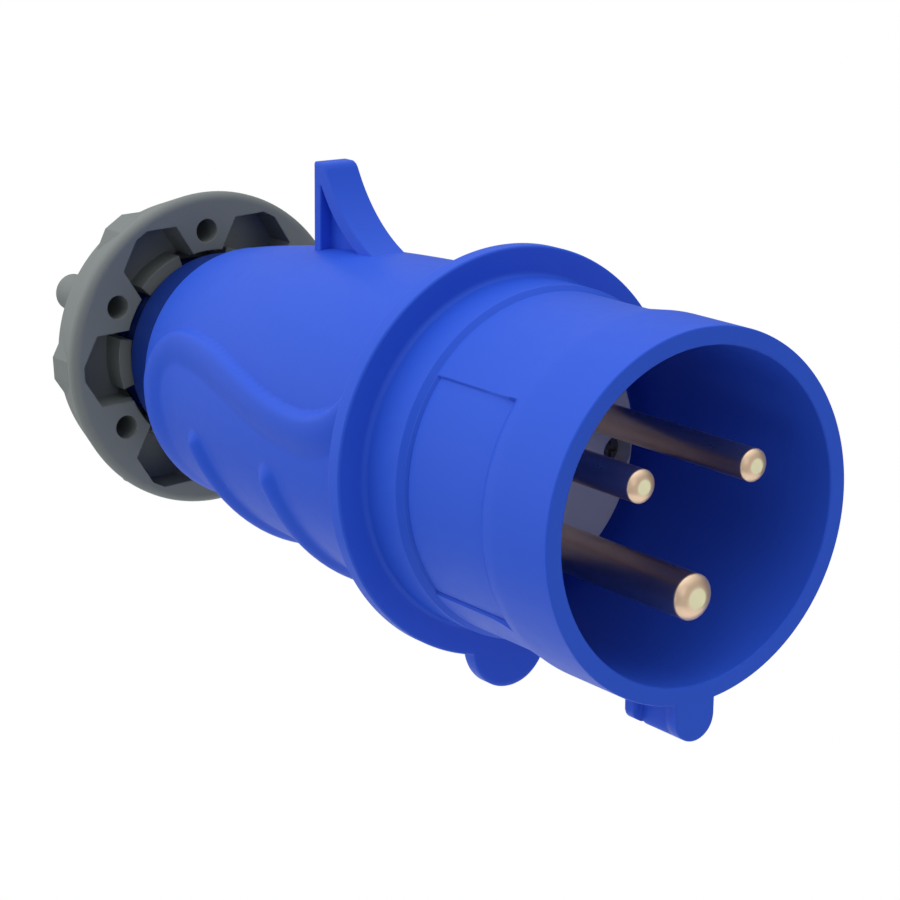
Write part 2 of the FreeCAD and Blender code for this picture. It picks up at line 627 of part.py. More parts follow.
def make_cross_screw(name, head, head_height, shank, length):
    """Pan-head screw with a cross recess, its head's seat at its own origin and its shank along -X."""
    body = new_body(name)
    revolve(body, "turned_" + name, [
        (head_height, "0"),
        (head_height, head + " * head_flat"),
        (head_height + " * head_rim", head),
        ("0", head),
        ("0", shank),
        (minus(length) + " + " + shank, shank),
        (minus(length), shank + " * screw_point"),
        (minus(length), "0"),
    ], {1: (head + " * head_curve", -1)})
    arms = {"level": ("cross_length", "cross_width"), "upright": ("cross_width", "cross_length")}
    for mark, (wide, high) in arms.items():
        arm = new_sketch(body, "cross_%s_outline" % mark, "YZ_Plane", head_height)
        outline(arm, [
            ("-%s / 2" % wide, "-%s / 2" % high),
            ("%s / 2" % wide, "-%s / 2" % high),
            ("%s / 2" % wide, "%s / 2" % high),
            ("-%s / 2" % wide, "%s / 2" % high),
        ])
        extrude(body, "cross_" + mark, arm, "cross_depth", cut=True)
    return body


def make_ring(name, front, rear, inner, outer):
    """Plain ring of rectangular section between two depths."""
    body = new_body(name)
    revolve(body, name + "_turned", [
        (minus(front), inner),
        (minus(front), outer),
        (minus(rear), outer),
        (minus(rear), inner),
    ])
    return body


def loft_grip(body, mark, grow):
    """Smooth loft through the grip's round sections, each grown by an expression."""
    sections = [
        ("flange_rear", "handle_front_radius", "0"),
        ("flange_rear + grip_a_place", "grip_a_radius", "0"),
        ("flange_rear + grip_b_place", "grip_b_radius", "-grip_sag / 2"),
        ("flange_rear + grip_c_place", "grip_c_radius", "-grip_sag"),
        ("grip_rear", "handle_rear_radius", "-grip_sag / 2"),
    ]
    sketches = []
    for depth, radius, up in sections:
        sketch = new_sketch(body, "%s_section_%d" % (mark, len(sketches)), "YZ_Plane", minus(depth))
        circle(sketch, "0", up, "%s + %s" % (radius, grow))
        sketches.append(sketch)
    doc.recompute()
    loft = body.newObject("PartDesign::AdditiveLoft", mark + "_loft")
    loft.Profile = sketches[0]
    loft.Sections = sketches[1:]
    loft.Ruled = False
    check_change(body, loft, True)
    return loft


def make_relief():
    """Raised border and ribs: a grip grown by the relief's height, kept only where a side view of the
    border and the ribs covers it. The border is a wave that turns down at the rear and runs round below."""
    outer = new_body("relief_outer")
    loft_grip(outer, "relief", "relief_height")
    view = new_body("relief_view")
    half_wave = "((wave_crest - wave_trough) / 2)"
    rise = "sqrt(wave_bend * wave_bend - %s * %s)" % (half_wave, half_wave)
    low_centre = "(wave_low + wave_bend)"
    high_centre = "(%s - 2 * %s)" % (low_centre, rise)
    corner = "(wave_rear - wave_crest)"
    corner_up = "(%s + wave_bend - %s)" % (high_centre, corner)
    inner, wider = "(wave_bend - border_half_width)", "(wave_bend + border_half_width)"
    front_inner = "(wave_front_bend - border_half_width)"
    front_wider = "(wave_front_bend + border_half_width)"

    def front(radius):
        drop = "sqrt(%s * %s - trough_place * trough_place)" % (radius, radius)
        return "-flange_rear", "wave_low + wave_front_bend - " + drop

    def join(radius):
        share = "%s / wave_bend" % radius
        return "-(wave_trough + %s * %s)" % (half_wave, share), "%s - %s * %s" % (low_centre, rise, share)

    sketch = new_sketch(view, "border_outline", "XZ_Plane")
    outline(sketch, [
        front(front_inner),
        ("-wave_trough", "wave_low + border_half_width"),
        join(inner),
        ("-wave_crest", "%s + %s" % (high_centre, wider)),
        ("-(wave_rear + border_half_width)", corner_up),
        ("-(wave_rear + border_half_width)", "-(handle_front_radius + 2 * cut_over)"),
        ("-(wave_rear - border_half_width)", "-(handle_front_radius + 2 * cut_over)"),
        ("-(wave_rear - border_half_width)", corner_up),
        ("-wave_crest", "%s + %s" % (high_centre, inner)),
        join(wider),
        ("-wave_trough", "wave_low - border_half_width"),
        front(front_wider),
    ], {
        0: (front_inner, -1),
        1: (inner, -1),
        2: (wider, 1),
        3: (corner + " + border_half_width", 1),
        7: (corner + " - border_half_width", -1),
        8: (inner, -1),
        9: (wider, 1),
        10: (front_wider, 1),
    })
    extrude(view, "border_view", sketch, "3 * handle_front_radius", symmetric=True)
    prisms = [view]
    for mark in ("front", "rear"):
        rib = new_body("rib_view_" + mark)
        place_text, slant = "(flange_rear + rib_%s_place)" % mark, "rib_%s_slant" % mark
        sketch = new_sketch(rib, "rib_outline_" + mark, "XZ_Plane")
        foot = "%s - rib_lean * %s" % (place_text, slant)
        top = "%s + %s" % (place_text, slant)
        outline(sketch, [
            ("-(%s - rib_half_width)" % foot, "-(handle_front_radius + cut_over)"),
            ("-(%s - rib_half_width)" % top, "-rib_end"),
            ("-(%s + rib_half_width)" % top, "-rib_end"),
            ("-(%s + rib_half_width)" % foot, "-(handle_front_radius + cut_over)"),
        ], {1: ("rib_half_width * half_round", 1)})
        extrude(rib, "rib_view_pad_" + mark, sketch, "3 * handle_front_radius", symmetric=True)
        prisms.append(rib)
    views = doc.addObject("Part::MultiFuse", "relief_views")
    views.Shapes = prisms
    relief = doc.addObject("Part::Common", "raised_relief")
    relief.Base = outer
    relief.Tool = views
    return relief


def make_rear_handle():
    """Grip lofted through round sections, with the lug, the raised border and the ribs, hollow inside,
    and a plain collar and a threaded neck behind it."""
    grip = new_body("grip_outer")
    loft = loft_grip(grip, "grip", "0")
    rear_edges = ["Edge%d" % (place + 1) for place, edge in enumerate(loft.Shape.Edges)
                  if abs(edge.BoundBox.XMin + number("grip_rear")) < 0.01 and edge.BoundBox.XLength < 0.01]
    rounding = grip.newObject("PartDesign::Fillet", "rear_rounding")
    rounding.Base = (loft, rear_edges)
    rounding.setExpression("Radius", bound("rear_round"))
    check_change(grip, rounding, False)

    lug = new_sketch(grip, "lug_outline", "XZ_Plane")
    lug_top_end = "-(lug_rear - lug_top)"
    lug_front = "-(lug_rear - lug_foot)"
    outline(lug, [
        ("-lug_rear", "handle_rear_radius - root_overlap"),
        ("-lug_rear", "lug_height"),
        (lug_top_end, "lug_height"),
        (lug_front, "lug_foot_height"),
        (lug_front, "handle_rear_radius - root_overlap"),
    ], {2: ("lug_curve", 1)})
    extrude(grip, "lug", lug, "2 * lug_half_width", symmetric=True)
    for side, offset in (("near", "lug_web"), ("far", "-(lug_half_width + cut_over)")):
        pocket = new_sketch(grip, "lug_pocket_%s_outline" % side, "XZ_Plane", offset)
        outline(pocket, [
            ("-(lug_rear - lug_wall)", "grip_b_radius"),
            ("-(lug_rear - lug_wall)", "lug_height - lug_pocket_drop"),
            ("-(lug_rear - lug_foot + lug_pocket_toe)", "lug_foot_height + lug_pocket_rise"),
            ("-(lug_rear - lug_foot + lug_pocket_toe)", "grip_b_radius"),
        ], {1: ("lug_curve", 1)})
        depth = "lug_half_width + cut_over - lug_web"
        extrude(grip, "lug_pocket_" + side, pocket, depth, cut=True, forwards=True)

    neck = new_body("neck_outer")
    revolve(neck, "neck_turned", [
        ("-grip_rear + handle_wall", "0"),
        ("-grip_rear + handle_wall", "collar_outer"),
        ("-collar_rear", "collar_outer"),
        ("-collar_rear", "neck_thread"),
        ("-neck_rear", "neck_thread"),
        ("-neck_rear", "0"),
    ])
    hollow = new_body("handle_hollow")
    revolve(hollow, "hollow_turned", [
        ("-flange_rear + front_trim", "0"),
        ("-flange_rear + front_trim", "flange_radius + front_trim"),
        ("-flange_rear", "flange_radius + front_trim"),
        ("-flange_rear", "handle_bore"),
        ("-(spigot_end + cut_over)", "handle_bore"),
        ("-(flange_rear + grip_b_place)", "grip_b_radius - handle_wall - grip_sag / 2"),
        ("-grip_rear + 2 * handle_wall", "handle_rear_radius - handle_wall"),
        ("-grip_rear + handle_wall", "throat_radius"),
        ("-shoulder_front", "throat_radius"),
        ("-shoulder_front", "shoulder_bore"),
        ("-shoulder_rear", "shoulder_bore"),
        ("-shoulder_rear", "neck_bore"),
        ("-neck_rear - cut_over", "neck_bore"),
        ("-neck_rear - cut_over", "0"),
    ])
    outer = doc.addObject("Part::MultiFuse", "handle_outer")
    outer.Shapes = [grip, neck, make_relief()]
    shell = doc.addObject("Part::Cut", "handle_shell")
    shell.Base = outer
    shell.Tool = hollow
    doc.recompute()

    posts = []
    holes = []
    for side, across in FIXINGS.items():
        post = doc.addObject("Part::Cylinder", "post_" + side)
        post.setExpression("Radius", bound("post_radius"))
        post.setExpression("Height", bound("post_length"))
        hole = doc.addObject("Part::Cylinder", "post_hole_" + side)
        hole.setExpression("Radius", bound("fixing_shank + hole_clearance"))
        hole.setExpression("Height", bound("fixing_length"))
        for bar, front in ((post, "web_rear"), (hole, "web_rear - cut_over")):
            bar.Placement.Rotation = FreeCAD.Rotation(Vector(0, 1, 0), -90)
            place(bar, minus(front), across, "-fixing_drop")
        rib = doc.addObject("Part::Box", "post_rib_" + side)
        rib.setExpression("Length", bound("web_rear + post_length - spigot_end - cut_over"))
        rib.setExpression("Width", bound("spigot_radius + handle_wall / 2 - fixing_across - post_radius / 2"))
        rib.setExpression("Height", bound("2 * post_rib"))
        inner = "fixing_across + post_radius / 2"
        start = inner if side == "right" else "-(spigot_radius + handle_wall / 2)"
        place(rib, "-(web_rear + post_length)", start, "-(fixing_drop + post_rib)")
        posts += [post, rib]
        holes.append(hole)
    joined = doc.addObject("Part::MultiFuse", "shell_and_posts")
    joined.Shapes = [shell] + posts
    bores = doc.addObject("Part::MultiFuse", "post_holes")
    bores.Shapes = holes
    handle = doc.addObject("Part::Cut", "rear_handle")
    handle.Base = joined
    handle.Tool = bores
    handle.Label = "rear_handle"
    return handle


def lobe_section(sketch, grow):
    """Pocket or outside of one lobe: straight sides and a blunt tip, pointing down, grown all round."""
    side = "(pocket_half_width + %s)" % grow
    side_reach = "(pocket_side_reach + %s * lobe_side_share)" % grow
    tip = "(pocket_tip_reach + %s)" % grow
    tip_half = "(pocket_tip_half + %s * lobe_tip_share)" % grow
    outline(sketch, [
        (minus(side), "-pocket_root"),
        (minus(side), minus(side_reach)),
        (minus(tip_half), minus(tip)),
        (tip_half, minus(tip)),
        (side, minus(side_reach)),
        (side, "-pocket_root"),
    ])


def make_gland_nut():
    """Nut whose outside narrows from a rounded front rim, with six hollow lobes and a thread land in each,
    blind holes between them, pegs on the back and a hub whose cone presses the clamp's fingers."""
    body = new_body("gland_nut")
    land_inner = "(neck_thread + land_clearance)"
    revolve(body, "nut_turned", [
        ("-nut_front", "nut_bore"),
        ("-nut_front", "nut_radius - nut_round"),
        ("-(nut_front + nut_round)", "nut_radius"),
        ("-(nut_front + nut_disc)", "nut_radius"),
        ("-nut_back", "nut_body_radius"),
        ("-nut_back", "hub_root_radius"),
        ("-hub_rear", "hub_tip_radius"),
        ("-hub_rear", "cone_tip_radius"),
        ("-hub_rear + exit_length", "cone_tip_radius"),
        ("-nut_back", "cone_root_radius"),
        ("-nut_back + nut_back_wall", "cone_root_radius"),
        ("-nut_back + nut_back_wall", "nut_bore"),
    ], {1: ("nut_round", 1)})
    outside = new_sketch(body, "lobe_outside_outline", "YZ_Plane", "-(nut_front + nut_disc)")
    lobe_section(outside, "lobe_wall")
    lobe = extrude(body, "lobe_outside", outside, "lobe_length - nut_disc")
    around(body, "lobes_outside", lobe, "lobe_count")
    inside = new_sketch(body, "lobe_pocket_outline", "YZ_Plane", "-nut_front")
    lobe_section(inside, "0")
    pocket = extrude(body, "lobe_pocket", inside, "lobe_length - lobe_wall", cut=True)
    around(body, "lobe_pockets", pocket, "lobe_count")
    land = new_sketch(body, "land_outline", "YZ_Plane", "-(nut_front + land_setback)")
    half = "land_angle / 2 * 1 deg"
    outer = "(%s + land_thickness)" % land_inner
    outline(land, [
        ("-%s * sin(%s)" % (land_inner, half), "-%s * cos(%s)" % (land_inner, half)),
        ("%s * sin(%s)" % (land_inner, half), "-%s * cos(%s)" % (land_inner, half)),
        ("%s * sin(%s)" % (outer, half), "-%s * cos(%s)" % (outer, half)),
        ("-%s * sin(%s)" % (outer, half), "-%s * cos(%s)" % (outer, half)),
    ], {0: (land_inner, 1), 2: (outer, -1)})
    block = extrude(body, "land", land, "nut_body_length - nut_back_wall / 2 - land_setback")
    around(body, "lands", block, "lobe_count")
    between = "180 deg / lobe_count"
    across, up = "hole_circle * sin(%s)" % between, "-hole_circle * cos(%s)" % between
    stud = new_sketch(body, "peg_outline", "YZ_Plane", "-nut_back + nut_back_wall / 2")
    circle(stud, across, up, "peg_radius")
    around(body, "pegs", extrude(body, "peg", stud, "peg_length + nut_back_wall / 2"), "peg_count")
    blind = new_sketch(body, "blind_outline", "YZ_Plane", "-nut_front")
    circle(blind, across, up, "blind_radius")
    around(body, "blind_holes", extrude(body, "blind_hole", blind, "blind_depth", cut=True), "lobe_count")
    body.Placement.Rotation = FreeCAD.Rotation(Vector(1, 0, 0), number("nut_phase - 30"))
    body.setExpression(".Placement.Rotation.Angle", bound("(nut_phase - 30) * 1 deg"))
    return body


def make_clamp_cage():
    """Base ring in the neck with slotted fingers that the nut's cone leans on."""
    body = new_body("clamp_cage")
    root = "cone_root_radius - finger_gap"
    slope = "(cone_root_radius - cone_tip_radius) / (hub_length - exit_length)"
    tip = "%s - (finger_rear - nut_back) * %s" % (root, slope)
    revolve(body, "cage_turned", [
        ("-cage_front", "cage_base_bore"),
        ("-cage_front", "neck_bore - cage_clearance"),
        ("-cage_base_rear", "neck_bore - cage_clearance"),
        ("-nut_back", root),
        ("-finger_rear", tip),
        ("-finger_rear", tip + " - finger_wall"),
        ("-cage_base_rear", root + " - finger_wall"),
    ])
    slot = new_sketch(body, "slot_outline", "YZ_Plane", "-finger_rear")
    outline(slot, [
        ("-finger_slot / 2", "0"),
        ("finger_slot / 2", "0"),
        ("finger_slot / 2", "-(neck_bore + cut_over)"),
        ("-finger_slot / 2", "-(neck_bore + cut_over)"),
    ])
    cut = extrude(body, "finger_slot_cut", slot, "finger_length - finger_root", cut=True, forwards=True)
    around(body, "finger_slots", cut, "finger_count")
    return body


make_front_shroud()
make_contact_carrier()
make_pin_retainer()
for pin_name, (pin_radius, pin_angle) in PINS.items():
    make_pin(pin_name, pin_radius, pin_angle)
    make_terminal_screw(pin_name.replace("_pin", "_terminal_screw"), pin_angle)
for fixing_side, fixing_across in FIXINGS.items():
    fixing = make_cross_screw("carrier_screw_" + fixing_side, "fixing_head", "fixing_head_height",
                              "fixing_shank", "fixing_length")
    place(fixing, "-(floor_depth + well_depth)", fixing_across, "-fixing_drop")
middle_screw = make_cross_screw("retainer_screw", "middle_head", "fixing_head_height", "middle_shank",
                                "middle_length")
middle_screw.Placement.Rotation = FreeCAD.Rotation(Vector(0, 0, 1), 180)
place(middle_screw, "-retainer_rear")
make_ring("housing_seal", "seal_front + seat_clearance / 2", "seal_front + seal_width - seat_clearance / 2",
          "spigot_radius - seal_groove + seal_ease", "handle_bore - seal_ease")
make_ring("slip_ring", "slip_front", "slip_rear", "slip_bore", "neck_bore - grommet_ease")
make_ring("cable_grommet", "shoulder_rear", "slip_front", "grommet_bore", "neck_bore - grommet_ease")
make_rear_handle()
make_clamp_cage()
make_gland_nut()
doc.recompute()

PARTS = ["front_shroud", "rear_handle", "contact_carrier", "pin_retainer", "line_pin", "neutral_pin",
         "earth_pin", "line_terminal_screw", "neutral_terminal_screw", "earth_terminal_screw",
         "carrier_screw_left", "carrier_screw_right", "retainer_screw", "housing_seal", "cable_grommet",
         "slip_ring", "clamp_cage", "gland_nut"]

for thing in doc.Objects:
    if "Invalid" in thing.State or "Error" in thing.State:
        raise RuntimeError("%s did not build: %s" % (thing.Name, thing.State))
for name in PARTS:
    shape = doc.getObject(name).Shape
    if shape.isNull() or not shape.isValid():
        raise RuntimeError("%s has no valid shape" % name)
os.makedirs("parts", exist_ok=True)
for name in PARTS:
    thing = doc.getObject(name)
    thing.Shape.exportStep("parts/%s.step" % thing.Label)
    print("%-24s %8.1f mm3 %d solid" % (name, thing.Shape.Volume, len(thing.Shape.Solids)))
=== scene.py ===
import bmesh
import bpy
import numpy as np
from mathutils import Matrix, Vector


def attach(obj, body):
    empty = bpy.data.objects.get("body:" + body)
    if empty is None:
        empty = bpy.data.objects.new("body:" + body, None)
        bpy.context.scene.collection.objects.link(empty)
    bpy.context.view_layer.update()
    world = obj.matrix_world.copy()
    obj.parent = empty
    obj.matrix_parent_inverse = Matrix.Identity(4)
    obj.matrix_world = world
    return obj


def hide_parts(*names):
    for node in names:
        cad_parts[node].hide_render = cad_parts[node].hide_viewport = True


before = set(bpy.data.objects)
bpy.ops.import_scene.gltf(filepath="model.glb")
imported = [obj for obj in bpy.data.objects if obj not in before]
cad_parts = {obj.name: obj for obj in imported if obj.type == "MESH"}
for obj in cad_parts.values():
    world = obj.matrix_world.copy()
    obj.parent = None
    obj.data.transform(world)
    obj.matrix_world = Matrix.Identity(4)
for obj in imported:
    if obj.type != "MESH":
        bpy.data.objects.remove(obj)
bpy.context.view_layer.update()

# Shapes are worked out in millimetres in the part's own frame: x runs out of the mouth, z up through
# the lug, and an angle "from below" is 0 at the key, positive towards +y. Finishes are in metres.

MM = 0.001
TINY = 1e-6


# Grids and profiles
def put_grid(name, points, body, along=False):
    """Turn a grid of points (rows, columns, 3) in millimetres into a quad mesh that rides on a body. The
    columns close into a ring, and along closes the rows too."""
    rows, columns, _ = points.shape
    index = np.arange(rows * columns).reshape(rows, columns)
    index = np.concatenate([index, index[:, :1]], 1)
    if along:
        index = np.concatenate([index, index[:1]], 0)
    quads = np.stack([index[:-1, :-1], index[:-1, 1:], index[1:, 1:], index[1:, :-1]], -1).reshape(-1, 4)
    mesh = bpy.data.meshes.new(name)
    mesh.vertices.add(rows * columns)
    mesh.vertices.foreach_set("co", (points.reshape(-1) * MM).astype(np.float32))
    mesh.loops.add(quads.size)
    mesh.loops.foreach_set("vertex_index", quads.reshape(-1).astype(np.int32))
    mesh.polygons.add(len(quads))
    mesh.polygons.foreach_set("loop_start", np.arange(0, quads.size, 4, dtype=np.int32))
    mesh.update(calc_edges=True)
    work = bmesh.new()
    work.from_mesh(mesh)
    bmesh.ops.remove_doubles(work, verts=work.verts, dist=2e-6)
    bmesh.ops.recalc_face_normals(work, faces=work.faces)
    work.to_mesh(mesh)
    work.free()
    mesh.shade_smooth()
    piece = bpy.data.objects.new(name, mesh)
    bpy.context.scene.collection.objects.link(piece)
    weighted = piece.modifiers.new("even_shading", "WEIGHTED_NORMAL")
    weighted.weight = 80
    weighted.keep_sharp = True
    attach(piece, body)
    return piece


def rounded(corners, radii):
    """Closed outline with each corner replaced by an arc of its radius: the arc's centre lies on the
    corner's bisector, and its ends where the radius meets both edges."""
    steps = 5
    back = np.roll(corners, 1, 0) - corners
    ahead = np.roll(corners, -1, 0) - corners
    back /= np.linalg.norm(back, axis=1)[:, None]
    ahead /= np.linalg.norm(ahead, axis=1)[:, None]
    half = 0.5 * np.arccos(np.clip((back * ahead).sum(1), -1, 1))
    reach = (radii / np.tan(half))[:, None]
    bisector = back + ahead
    bisector /= np.maximum(np.linalg.norm(bisector, axis=1), TINY)[:, None]
    centre = corners + bisector * (radii / np.sin(half))[:, None]
    sweep = np.maximum(np.pi - 2 * half, TINY)[:, None, None]
    share = np.linspace(0, 1, steps)[None, :, None]
    first = (corners + back * reach - centre)[:, None, :]
    last = (corners + ahead * reach - centre)[:, None, :]
    arc = (first * np.sin((1 - share) * sweep) + last * np.sin(share * sweep)) / np.sin(sweep)
    points = np.where(radii[:, None, None] > 0, centre[:, None, :] + arc, corners[:, None, :]).reshape(-1, 2)
    gap = np.linalg.norm(points - np.roll(points, 1, 0), axis=1)
    return points[gap > TINY]


def spread(points, longest):
    """Add points on a closed outline's long edges so that no step is longer than longest(middle)."""
    ahead = np.roll(points, -1, 0)
    length = np.linalg.norm(ahead - points, axis=1)
    parts = np.maximum(np.ceil(length / longest((points + ahead) / 2)), 1).astype(int)
    start = np.repeat(points, parts, 0)
    step = np.repeat((ahead - points) / parts[:, None], parts, 0)
    count = np.arange(parts.sum()) - np.repeat(np.cumsum(parts) - parts, parts)
    return start + step * count[:, None]


def arc_points(centre, radius, start, end, count):
    """Points on an arc about a centre, from one angle to another in degrees."""
    turn = np.radians(np.linspace(start, end, count))
    return np.array(centre) + radius * np.stack([np.cos(turn), np.sin(turn)], 1)


def ease(value, low, high):
    """0 below low, 1 above high, and a smooth S between them."""
    share = np.clip((value - low) / (high - low), 0, 1)
    return share * share * (3 - 2 * share)


def turned(x, radius, below):
    """Grid of points at a distance radius from the axis and an angle from below."""
    x, radius, below = np.broadcast_arrays(x, radius, below)
    return np.stack([x, radius * np.sin(below), -radius * np.cos(below)], -1)


def tongue(below, half_width, reach, corner):
    """Distance from the axis to the edge of a tongue that points down: straight sides at half_width, a
    flat end at reach and a round corner between them. Beside the corner it is half_width / sin(angle),
    below it reach / cos(angle), on it the far root of the corner's circle, and above the axis 0."""
    turn = np.abs(below)
    across, down = half_width - corner, reach - corner
    side = half_width / np.maximum(np.sin(turn), TINY)
    end = reach / np.maximum(np.cos(turn), TINY)
    along = across * np.sin(turn) + down * np.cos(turn)
    arc = along + np.sqrt(np.maximum(corner ** 2 - across ** 2 - down ** 2 + along ** 2, 0))
    low = np.where(np.tan(turn) * reach <= across, end, arc)
    edge = np.where(np.tan(turn) * down >= half_width, side, low)
    return np.where(turn < np.pi / 2, edge, 0.0)


# Finishes
class Value:
    """A socket of a node tree. Arithmetic on it adds Math nodes."""

    def __init__(self, owner, socket):
        self.owner, self.socket = owner, socket

    def math(self, operation, *values):
        return self.owner.node("ShaderNodeMath", {"operation": operation}, *values)

    def __add__(self, other):
        return self.math("ADD", self, other)

    def __sub__(self, other):
        return self.math("SUBTRACT", self, other)

    def __rsub__(self, other):
        return self.math("SUBTRACT", other, self)

    def __mul__(self, other):
        return self.math("MULTIPLY", self, other)

    def __pow__(self, other):
        return self.math("POWER", self, other)

    __radd__, __rmul__ = __add__, __mul__


class Nodes:
    """The node tree of a material or a world, emptied, to which node() adds one node at a time."""

    def __init__(self, owner):
        owner.use_nodes = True
        self.tree = owner.node_tree
        self.tree.nodes.clear()

    def feed(self, socket, value):
        """Link a value to an input socket, or set the socket to a number, vector or colour."""
        if isinstance(value, Value):
            self.tree.links.new(value.socket, socket)
        else:
            socket.default_value = value

    def node(self, kind, settings, *values, out=0, **named):
        """Add a node: its settings first, then its inputs in order or by name; returns one output."""
        made = self.tree.nodes.new(kind)
        for key, value in settings.items():
            setattr(made, key, value)
        for place, value in enumerate(values):
            self.feed(made.inputs[place], value)
        for key, value in named.items():
            self.feed(made.inputs[key.replace("_", " ")], value)
        return Value(self, made.outputs[out]) if made.outputs else None


class Finish(Nodes):
    """A material for one of the object's finishes."""

    def __init__(self, name):
        self.material = bpy.data.materials.new(name)
        super().__init__(self.material)

    def place(self, centre=(0, 0, 0), scale=(1, 1, 1)):
        """Object coordinates, moved and scaled by a Mapping node."""
        where = self.node("ShaderNodeTexCoord", {}, out=3)
        return self.node("ShaderNodeMapping", {}, where, Location=centre, Scale=scale)

    def axes(self, where):
        """The three coordinates of a place."""
        first = self.node("ShaderNodeSeparateXYZ", {}, where)
        return [Value(self, output) for output in first.socket.node.outputs]

    def noise(self, where, scale, detail=2.0, roughness=0.5):
        return self.node("ShaderNodeTexNoise", {}, Vector=where, Scale=scale, Detail=detail, Roughness=roughness)

    def between(self, value, none, full):
        """Share of the way of a value from none to full, kept within 0 and 1."""
        return self.node("ShaderNodeMapRange", {}, value, none, full, 0.0, 1.0)

    def tint(self, share, low, high):
        """Colour between low and high by a share. The Mix node's colours are its inputs 6 and 7 and its
        output 2."""
        mixed = self.node("ShaderNodeMix", {"data_type": "RGBA"}, share, out=2)
        for place, colour in ((6, low), (7, high)):
            colour = colour if isinstance(colour, Value) else (*colour, 1)
            self.feed(mixed.socket.node.inputs[place], colour)
        return mixed

    def bump(self, height, distance, strength, edge=0.0):
        """Normal from a height; edge rounds sharp corners by that many metres."""
        extra = {"Normal": self.node("ShaderNodeBevel", {"samples": 6}, edge)} if edge else {}
        return self.node("ShaderNodeBump", {}, Strength=strength, Distance=distance, Height=height, **extra)

    def shade(self, **sockets):
        surface = self.node("ShaderNodeBsdfPrincipled", {}, **sockets)
        self.node("ShaderNodeOutputMaterial", {}, surface)
        return self.material


def moulded(name, deep, pale, rough, specular, edge=0.0, collar=None):
    """Moulded plastic: the colour drifts slowly between deep and pale, a fine spark-eroded grain lifts
    the surface, and the roughness follows both. Behind x = collar the colour is painted deeper: painted
    shade for the shadow that the nut and the grip cast on the collar between them."""
    grain_height, painted_shade_fade, painted_shade_depth = 0.00002, 0.0008, 0.3
    finish = Finish(name)
    where = finish.place()
    drift = finish.noise(where, 45.0, 3.0)
    fine = finish.noise(where, 3200.0, 2.0, 0.6)
    scuff = finish.noise(where, 420.0, 4.0, 0.65)
    rubbed = finish.between(scuff, 0.45, 0.75)
    colour = finish.tint(drift, deep, pale)
    # painted shade: behind x = collar the colour is darkened, standing in for the shadow of the nut and the grip
    # on the collar
    if collar:
        behind = finish.between(finish.axes(where)[0], collar, collar - painted_shade_fade)
        colour = finish.tint(behind, colour, [painted_shade_depth * part for part in deep])
    return finish.shade(
        Base_Color=colour,
        Roughness=rough + (drift - 0.5) * 0.08 + rubbed * 0.05,
        Specular_IOR_Level=specular,
        Normal=finish.bump(fine * 0.7 + scuff * 0.3, grain_height, 0.6, edge),
    )


def turned_brass(name, y, z, radius):
    """Turned and polished pin: fine rings round its own axis, a slow stain along it and a few rubs. The
    rounded tip is rougher, and paler and less metallic as a painted reflection that keeps it evenly
    bright; its flat is a pale yellow-green painted highlight."""
    dark_brass, pale_brass = (0.80, 0.54, 0.34), (1.0, 0.77, 0.55)
    # painted reflection and painted highlight: the tip's paler pink brass and the flat's pale yellow-green
    tip_reflection_colour, flat_highlight_colour = (1.0, 0.73, 0.50), (0.87, 0.82, 0.53)
    finish = Finish(name)
    where = finish.place(centre=(0, -y, -z))
    x, across, up = finish.axes(where)
    ring = (across ** 2.0 + up ** 2.0) ** 0.5
    rings = finish.noise(finish.node("ShaderNodeCombineXYZ", {}, x * 2600.0, ring * 5200.0, 0.0), 1.0, 2.0)
    stain = finish.noise(where, 90.0, 4.0, 0.6)
    rub = finish.noise(finish.node("ShaderNodeCombineXYZ", {}, x * 40.0, across * 1400.0, up * 1400.0), 1.0, 3.0)
    tip = finish.between(x, -0.0003 - 0.37 * radius, -0.0002 - 0.35 * radius)
    flat = finish.between(ring, 0.5 * radius, 0.44 * radius)
    body = finish.tint(stain, dark_brass, pale_brass)
    return finish.shade(
        # painted reflection on the dome (paler colour, less metal) and painted highlight on the flat
        Base_Color=finish.tint(flat * tip, finish.tint(tip, body, tip_reflection_colour), flat_highlight_colour),
        Metallic=1.0 - tip * 0.3,
        Roughness=0.2 + stain * 0.12 + rub * 0.08 + tip * 0.07,
        Normal=finish.bump(rings * 0.6 + rub * 0.4, 0.00002, 0.5),
    )


def plated(name):
    """Zinc plated screw: cool grey with a faint yellow cast and fine turning marks."""
    finish = Finish(name)
    cast = finish.noise(finish.place(), 260.0, 3.0)
    marks = finish.noise(finish.place(scale=(9000, 900, 900)), 1.0, 2.0)
    return finish.shade(
        Base_Color=finish.tint(cast, (0.22, 0.22, 0.23), (0.34, 0.33, 0.30)),
        Metallic=1.0,
        Roughness=0.3 + cast * 0.15,
        Normal=finish.bump(marks, 0.00001, 0.5, 0.0001),
    )


def rubber(name):
    """Matt black rubber with a dusty bloom."""
    finish = Finish(name)
    where = finish.place()
    bloom = finish.noise(where, 160.0, 4.0, 0.6)
    grain = finish.noise(where, 2600.0, 2.0)
    return finish.shade(
        Base_Color=finish.tint(bloom, (0.012, 0.012, 0.013), (0.035, 0.034, 0.033)),
        Roughness=0.68 + bloom * 0.15,
        Normal=finish.bump(grain, 0.00003, 0.5, 0.0002),
    )


def finished(piece, material):
    piece.data.materials.clear()
    piece.data.materials.append(material)
    return piece


